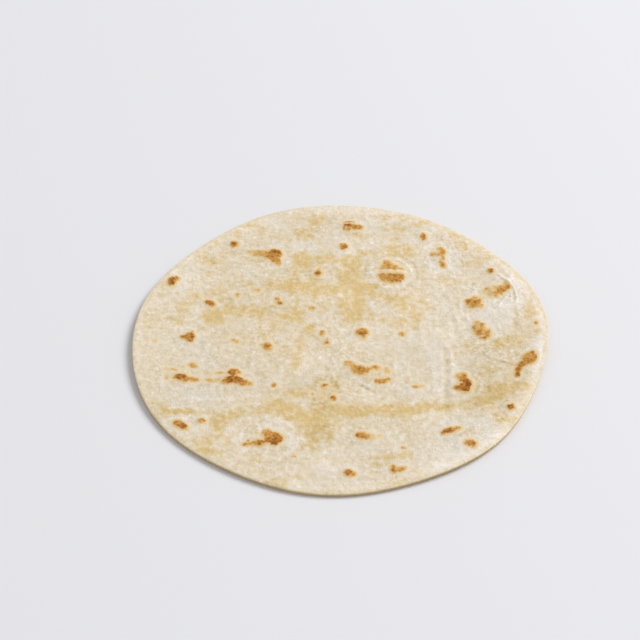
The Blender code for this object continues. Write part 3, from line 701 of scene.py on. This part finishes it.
def wrinkle_relief(x, y, crackle):
    """Thin crests that run up and across the skin, and dents between them where it has crackled."""
    upright, level = (1.0 - np.minimum(1.0, np.abs(unevenness(x, y, *pattern)) / CREST_LIMIT)
                      for pattern in (UPRIGHT_WRINKLES, LEVEL_WRINKLES))
    dents = np.minimum(unevenness(x, y, *DENTS), DENT_LIMIT)
    rough = np.maximum(crackle, SMOOTHEST)
    wrinkles = (WRINKLE_HEIGHT[0] + WRINKLE_HEIGHT[1] * rough) * (upright + level)
    return wrinkles + (DENT_HEIGHT[0] + DENT_HEIGHT[1] * rough) * dents


def bubble_relief(x, y, count, seed, span, radii, widths, heights):
    """Small raised bubbles, as BUBBLES says."""
    draw = np.random.default_rng(seed)
    height = np.zeros(x.shape)
    for _ in range(count):
        radius = draw.uniform(*radii)
        bubble = (*draw.uniform(-span, span, 2), radius, radius * draw.uniform(*widths),
                  draw.uniform(0.0, 180.0), draw.uniform(*heights))
        near = np.hypot(x - bubble[0], y - bubble[1]) < radius
        height[near] += dome(x[near], y[near], bubble)
    return height


def crust_relief(x, y, depth):
    """The toast as thin raised crust."""
    return smooth_step(depth, -0.6, 0.5) * (CRUST_HEIGHT + CRUST_HEIGHT * unevenness(x, y, *CRUST_BUMPS))


# ------------
# Mesh
# ------------
def place_in_order(part):
    """A number of its own for each edge or face, so that they are in the same order in each run."""
    numbers = [corner.index for corner in part.verts]
    return max(numbers) * MOST_CORNERS + min(numbers)


def square_sheets():
    """A fine square grid for the top, its edge drawn down as the rim's wall, and a coarser one below it."""
    sheet = bmesh.new()
    bmesh.ops.create_grid(sheet, x_segments=2 * RINGS, y_segments=2 * RINGS, size=1.0,
                          matrix=Matrix.Translation((0.0, 0.0, TOP)))
    edge = [line for line in sheet.edges if line.is_boundary]
    wall = bmesh.ops.extrude_edge_only(sheet, edges=edge)["geom"]
    for part in wall:
        if isinstance(part, bmesh.types.BMVert):
            part.co.z = WALL
    sheet.verts.index_update()
    for parts in (sheet.edges, sheet.faces):
        parts.sort(key=place_in_order)
    bmesh.ops.create_grid(sheet, x_segments=RINGS, y_segments=RINGS, size=1.0)
    loose = [line for line in sheet.edges if line.is_boundary]
    bmesh.ops.bridge_loops(sheet, edges=loose)
    bmesh.ops.recalc_face_normals(sheet, faces=list(sheet.faces))
    mesh = bpy.data.meshes.new("toasted_tortilla")
    sheet.to_mesh(mesh)
    sheet.free()
    return mesh


def values_of(items, name, kind, width=1):
    """A property of many items as an array, with a row for each of them if it has several parts."""
    found = np.empty(len(items) * width, kind)
    items.foreach_get(name, found)
    return found.reshape(-1, width) if width > 1 else found


def give_attributes(mesh, **attributes):
    """Stores numbers for each vertex by their names, for the material to read."""
    for name, values in attributes.items():
        attribute = mesh.attributes.new(name, "FLOAT", "POINT")
        attribute.data.foreach_set("value", values.astype(np.float32))


def lay_out_map(mesh, level, radius, angle, depth_below):
    """The map for the surface's colours: the top with its wall, and the underside, as two discs."""
    loops = values_of(mesh.loops, "vertex_index", np.int32)
    first = values_of(mesh.polygons, "loop_start", np.int32)
    total = values_of(mesh.polygons, "loop_total", np.int32)
    face_level = np.maximum.reduceat(level[loops], first)
    upper = np.repeat(face_level, total) > UNDERSIDE
    reach = (radius + depth_below)[loops] * MAP_PER_MM
    reach = np.where(upper, reach, radius[loops] * MAP_PER_MM * UNDERSIDE_MAP_SHARE)
    across = reach * np.cos(angle[loops]) * np.where(upper, 1.0, -1.0)
    along = reach * np.sin(angle[loops])
    middle_u = np.where(upper, TOP_DISC[0], UNDERSIDE_DISC[0])
    middle_v = np.where(upper, TOP_DISC[1], UNDERSIDE_DISC[1])
    layout = mesh.uv_layers.new(name="OFBake")
    places = np.stack([middle_u + across, middle_v + along], 1)
    layout.uv.foreach_set("vector", places.astype(np.float32).ravel())


def tortilla_mesh():
    """The whole tortilla as one closed mesh."""
    mesh = square_sheets()
    u, v, level = values_of(mesh.vertices, "co", np.float32, 3).astype(float).T
    angle = square_angle(u, v)
    rim = outline_radius(angle)
    radius = ring_radius(np.maximum(np.abs(u), np.abs(v)), rim)
    middle_x, middle_y = outline_middle()
    x = radius * np.cos(angle) - middle_x
    y = radius * np.sin(angle) - middle_y

    warp = np.maximum(0.0, (radius / rim - FLAT_SHARE) / (1.0 - FLAT_SHARE))
    lift = rim_lift(angle) * warp ** 2
    inset = rim - radius
    roundness = rim_roundness(inset)
    above, below = level == TOP, level == UNDERSIDE

    spots, patches = random_ovals(*UNDERSIDE_TOAST), random_ovals(*UNDERSIDE_GOLD)
    depth = np.where(below, toast_depth(x, y, spots), toast_depth(x, y, TOAST))
    brown = np.where(below, browning(x, y, spots), browning(x, y, TOAST))
    warmth = GOLD_WARMTH * np.where(below, patch_strength(x, y, patches), patch_strength(x, y, GOLD))
    warmth = warmth - FLOUR_WARMTH * np.where(below, 0.0, patch_strength(x, y, FLOURY))

    crackle = patch_strength(x, y, CRACKLED) - patch_strength(x, y, SMOOTH)
    pits = sum(dome(x, y, pit) for pit in PITS)
    fade = smooth_step(inset, 0.0, RELIEF_FADE)
    fine = (crease_relief(x, y) + ripple_relief(x, y) + wrinkle_relief(x, y, crackle) - pits) * fade
    skin = (bumps(x, y, BROAD_BUMPS) + crust_relief(x, y, depth)) * fade
    swells = sum(dome(x, y, bump) for bump in SWELLS + BLISTERS)
    top = lift + DOUGH_THICKNESS + swells * (1.0 - roundness) - RIM_DROP_ABOVE * roundness
    top = top + fine + skin + bubble_relief(x, y, *BUBBLES) * fade
    under = lift + RIM_RISE_BELOW * roundness + np.maximum(0.0, skin)
    wall = lift + (RIM_RISE_BELOW + DOUGH_THICKNESS - RIM_DROP_ABOVE) / 2.0
    height = np.where(above, top, np.where(below, under, wall))

    mesh.vertices.foreach_set("co", (np.stack([x, y, height], 1) * MM).astype(np.float32).ravel())
    # The fine relief is stored too, for its painted light and shade: lighter on ridges, darker in grooves
    # and pits
    give_attributes(mesh, toast=depth, browning=brown, warmth=warmth,
                    crackle=np.where(below, UNDERSIDE_CRACKLE, crackle),
                    relief=np.where(above, fine, 0.0),
                    tone=np.where(below, 0.0, tone(x, y, angle, inset)),
                    inset=np.where(above, inset, inset - SIDE_INSET))
    drop = np.where(above, RIM_DROP_ABOVE * roundness, np.where(below, UNDERSIDE_DROP, WALL_DROP))
    lay_out_map(mesh, level, radius, angle, drop)
    mesh.update()
    mesh.shade_smooth()
    return mesh


# ------------
# Material
# ------------
def linear(colour):
    """A daylight colour of 255 as Blender's linear colour."""
    shares = [part / 255.0 for part in colour]
    return (*[part / 12.92 if part <= 0.04045 else ((part + 0.055) / 1.055) ** 2.4 for part in shares], 1.0)


class Shading:
    """Adds nodes to a material, and wires each one as it is made."""

    def __init__(self, name):
        self.material = bpy.data.materials.new(name)
        self.material.use_nodes = True
        self.tree = self.material.node_tree
        self.surface = self.tree.nodes["Principled BSDF"]

    def feed(self, socket, value):
        """Wires a socket to another node's output, or sets it to a fixed value."""
        if isinstance(value, bpy.types.NodeSocket):
            self.tree.links.new(value, socket)
        else:
            socket.default_value = value

    def add(self, kind, values, **settings):
        """The outputs of a new node with these settings and these values of its sockets."""
        node = self.tree.nodes.new(kind)
        for name, setting in settings.items():
            setattr(node, name, setting)
        for socket, value in values.items():
            self.feed(node.inputs[socket], value)
        return node.outputs

    def attribute(self, name):
        """A number stored on the mesh."""
        return self.add("ShaderNodeAttribute", {}, attribute_name=name)["Fac"]

    def maths(self, operation, first, second=0.0):
        """A sum, product or other operation on two numbers."""
        return self.add("ShaderNodeMath", {0: first, 1: second}, operation=operation)[0]

    def step(self, value, low, high, start=0.0, end=1.0):
        """An S-curve from start, at low, to end, at high."""
        values = {0: value, 1: low, 2: high, 3: start, 4: end}
        return self.add("ShaderNodeMapRange", values, interpolation_type="SMOOTHSTEP")["Result"]

    def places(self, stretch=(1.0, 1.0, 1.0)):
        """Places on the object in millimetres, stretched along each axis."""
        where = self.add("ShaderNodeTexCoord", {})["Object"]
        per_metre = [share / MM for share in stretch]
        return self.add("ShaderNodeVectorMath", {0: where, 1: per_metre}, operation="MULTIPLY")[0]

    def cloud(self, places, size, detail=2.0):
        """Noise from 0 to 1 whose spots have about this size."""
        values = {"Vector": places, "Scale": 1.0 / size, "Detail": detail}
        return self.add("ShaderNodeTexNoise", values)["Fac"]

    def crests(self, places, size):
        """1 along thin lines that wander through the places, about this far apart, and 0 between them."""
        away = self.maths("ABSOLUTE", self.maths("SUBTRACT", self.cloud(places, size), 0.5))
        return self.step(away, 0.0, 0.06, 1.0, 0.0)

    def varied(self, value, *clouds):
        """A value moved up and down by clouds, each given with how far it moves it."""
        for cloud, reach in clouds:
            moved = self.maths("MULTIPLY", self.maths("SUBTRACT", cloud, 0.5), reach)
            value = self.maths("ADD", value, moved)
        return value

    def blend(self, share, first, second):
        """The first colour where share is 0, and the second where it is 1."""
        return self.add("ShaderNodeMix", {0: share, 6: first, 7: second}, data_type="RGBA")[2]

    def shaded(self, colour, share, tint):
        """A colour times a share, which red, green and blue each feel as much as the tint says."""
        values = {0: share, 1: tint, 2: [1.0 - part for part in tint]}
        felt = self.add("ShaderNodeVectorMath", values, operation="MULTIPLY_ADD")[0]
        return self.add("ShaderNodeVectorMath", {0: colour, 1: felt}, operation="MULTIPLY")[0]

    def ramp(self, value, stops):
        """A colour that passes through stops, each given as (value, colour)."""
        node = self.tree.nodes.new("ShaderNodeValToRGB")
        low, high = stops[0][0], stops[-1][0]
        for number, (at, colour) in enumerate(stops):
            if number < 2:
                stop = node.color_ramp.elements[number]
                stop.position = (at - low) / (high - low)
            else:
                stop = node.color_ramp.elements.new((at - low) / (high - low))
            stop.color = linear(colour)
        self.feed(node.inputs[0], self.maths("DIVIDE", self.maths("SUBTRACT", value, low), high - low))
        return node.outputs["Color"]

    def specks(self, places, size, radius, share):
        """1 on small round specks: one in each cell of this size, on this share of the cells."""
        cells = self.add("ShaderNodeTexVoronoi", {"Vector": places, "Scale": 1.0 / size})
        chance = self.add("ShaderNodeSeparateColor", {0: cells["Color"]})[0]
        chosen = self.maths("LESS_THAN", chance, share)
        near = self.step(cells["Distance"], radius / size * 0.4, radius / size, 1.0, 0.0)
        return self.maths("MULTIPLY", chosen, near)


def toasted_dough():
    """Floury pale dough with golden patches and toasted blisters."""
    dough = Shading("toasted_dough")
    places = dough.places()
    fine = dough.cloud(places, 0.7)
    grain = dough.cloud(places, 1.4, 1.0)
    mottle = dough.cloud(places, 3.0, 1.0)
    patch = dough.cloud(places, 9.0, 3.0)
    broad = dough.cloud(places, 30.0)
    fibre = dough.cloud(dough.places((1.0, 0.3, 1.0)), 1.8)
    upright = dough.crests(dough.places((1.0, 0.45, 1.0)), 2.2)
    level = dough.crests(dough.places((0.45, 1.0, 1.0)), 2.2)
    toast = dough.attribute("toast")
    browning = dough.attribute("browning")
    inset = dough.attribute("inset")
    relief = dough.attribute("relief")
    crackle = dough.attribute("crackle")
    gold = dough.attribute("warmth")

    # From floury white to gold, and a little paler close to the toast
    unevenly = dough.varied(0.0, (broad, 0.3), (patch, 0.9), (mottle, -1.1), (fibre, 0.4))
    unevenly = dough.maths("MULTIPLY", unevenly, dough.step(gold, -0.25, 0.5, 0.15, 1.2))
    warmth = dough.maths("ADD", dough.maths("ADD", gold, PLAIN_WARMTH), unevenly)
    warmth = dough.maths("SUBTRACT", warmth, dough.step(toast, -6.0, -1.2, 0.0, 0.1))
    colour = dough.ramp(warmth, DOUGH_STOPS)

    # Pores, flour, crests whitened partly as flour and partly as a painted highlight, and a painted
    # highlight along the rim's lip over its golden side
    pores = dough.specks(places, 2.8, 0.8, 0.5)
    pores = dough.maths("MULTIPLY", pores, dough.step(crackle, -0.2, 1.0, 0.0, 0.6))
    colour = dough.blend(pores, colour, linear(PORE_SHADE))
    flour = dough.specks(places, 3.6, 1.4, 0.5)
    flour = dough.maths("MULTIPLY", flour, dough.step(gold, 0.0, 0.6, 0.55, 0.15))
    colour = dough.blend(flour, colour, linear(FLOUR_AND_HIGHLIGHT_WHITE))
    # Crests whitened: partly flour, partly a painted highlight on them
    colour = dough.blend(dough.step(relief, 0.06, 0.5, 0.0, 0.8), colour, linear(FLOUR_AND_HIGHLIGHT_WHITE))
    # Painted highlight along the rim's lip
    colour = dough.blend(dough.step(inset, 0.3, 2.4, 0.55, 0.0), colour, linear(LIP_HIGHLIGHT))
    colour = dough.blend(dough.step(inset, -0.3, 0.0, 1.0, 0.0), colour, linear(SIDE_COLOUR))

    # Lighter and darker grain, strongest where the skin has crackled, with painted highlights on wrinkle
    # crests and ridges, painted shade in grooves and pits, and the painted light of the raised rim
    rough = dough.step(dough.varied(crackle, (patch, 1.6)), -0.9, 1.1, 0.05, 0.53)
    # Grain and mottle are the dough's own; the lighter wrinkle crests are a painted highlight
    shade = dough.varied(1.01, (grain, rough), (mottle, 0.27), (upright, 0.04), (level, 0.04))
    # Painted light and shade of the fine relief: lighter on ridges, darker in grooves and pits
    shade = dough.maths("ADD", shade, dough.maths("MULTIPLY", relief, 0.45))
    # Painted light of the raised rim, and patches that are partly painted light and shade
    shade = dough.maths("ADD", shade, dough.attribute("tone"))
    colour = dough.shaded(colour, shade, SHADE_TINT)

    # Toast with a ragged edge: a pale ring round it, singed dough, and then crust
    crust_edge = dough.varied(toast, (mottle, 1.3), (grain, 1.4))
    strong = dough.step(browning, 0.15, 0.55, 0.3, 1.0)
    halo = dough.step(crust_edge, -2.6, -1.2, 0.0, 0.45)
    colour = dough.blend(halo, colour, linear(HALO_COLOUR))
    singe = dough.maths("MULTIPLY", strong, dough.step(crust_edge, -1.7, -0.1, 0.0, 0.75))
    colour = dough.blend(singe, colour, linear(SINGED_DOUGH))
    brown = dough.maths("MULTIPLY", browning, dough.step(crust_edge, -0.3, 1.1, 0.8, 1.03))
    brown = dough.varied(brown, (grain, 1.0), (mottle, 0.5))
    crust = dough.maths("MULTIPLY", strong, dough.step(crust_edge, -0.32, 0.75))
    colour = dough.blend(crust, colour, dough.ramp(brown, TOAST_STOPS))
    roughness = dough.step(crust, 0.0, 1.0, DOUGH_ROUGHNESS, CRUST_ROUGHNESS)
    dough.feed(dough.surface.inputs["Base Color"], colour)
    dough.feed(dough.surface.inputs["Roughness"], roughness)
    dough.surface.inputs["Specular IOR Level"].default_value = DOUGH_SHINE

    height = dough.varied(0.0, (fine, 0.02), (grain, 0.06), (mottle, 0.3), (upright, 0.05), (level, 0.05))
    bump = dough.add("ShaderNodeBump", {"Strength": 1.0, "Distance": MM, "Height": height})
    dough.feed(dough.surface.inputs["Normal"], bump["Normal"])
    return dough.material


def put_in_scene(name, data):
    """A mesh, lamp or camera as a new object of the scene."""
    thing = bpy.data.objects.new(name, data)
    bpy.context.scene.collection.objects.link(thing)
    return thing


def add_tortilla():
    """The tortilla, in place of its plain solid."""
    tortilla = put_in_scene("toasted_tortilla", tortilla_mesh())
    tortilla.data.materials.append(toasted_dough())
    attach(tortilla, "root")
    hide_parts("tortilla")


# ------------
# Studio
# ------------
def add_floor():
    """A plain pale floor."""
    floor = Shading("pale_floor")
    floor.surface.inputs["Base Color"].default_value = linear(FLOOR_COLOUR)
    floor.surface.inputs["Roughness"].default_value = FLOOR_ROUGHNESS
    sheet = bmesh.new()
    bmesh.ops.create_grid(sheet, x_segments=1, y_segments=1, size=FLOOR_HALF_WIDTH,
                          matrix=Matrix.Translation((0.0, 0.0, -FLOOR_DROP)))
    mesh = bpy.data.meshes.new("floor")
    sheet.to_mesh(mesh)
    sheet.free()
    mesh.materials.append(floor.material)
    put_in_scene("floor", mesh)


def aim(thing, place, target):
    """Puts a lamp or camera at a place, and points it at a target."""
    thing.location = place
    thing.rotation_euler = (Vector(target) - Vector(place)).to_track_quat("-Z", "Y").to_euler()


def add_light():
    """A large soft lamp from behind on the right, over even light from all round."""
    lamp = bpy.data.lights.new("key", "AREA")
    lamp.size = LAMP_SIZE
    lamp.energy = LAMP_POWER
    aim(put_in_scene("key", lamp), LAMP_PLACE, (0.0, 0.0, 0.0))
    world = bpy.data.worlds.new("studio")
    world.use_nodes = True
    background = world.node_tree.nodes["Background"]
    background.inputs["Color"].default_value = (1.0, 1.0, 1.0, 1.0)
    background.inputs["Strength"].default_value = EVEN_LIGHT
    bpy.context.scene.world = world
    bpy.context.scene.view_settings.view_transform = "Standard"


def add_camera():
    """The camera, at the photograph's viewing angle."""
    lens = bpy.data.cameras.new("camera")
    lens.lens = CAMERA_LENS
    lens.sensor_width = CAMERA_SENSOR
    camera = put_in_scene("camera", lens)
    aim(camera, CAMERA_PLACE, CAMERA_TARGET)
    bpy.context.scene.camera = camera


add_camera()
add_light()
add_floor()
add_tortilla()
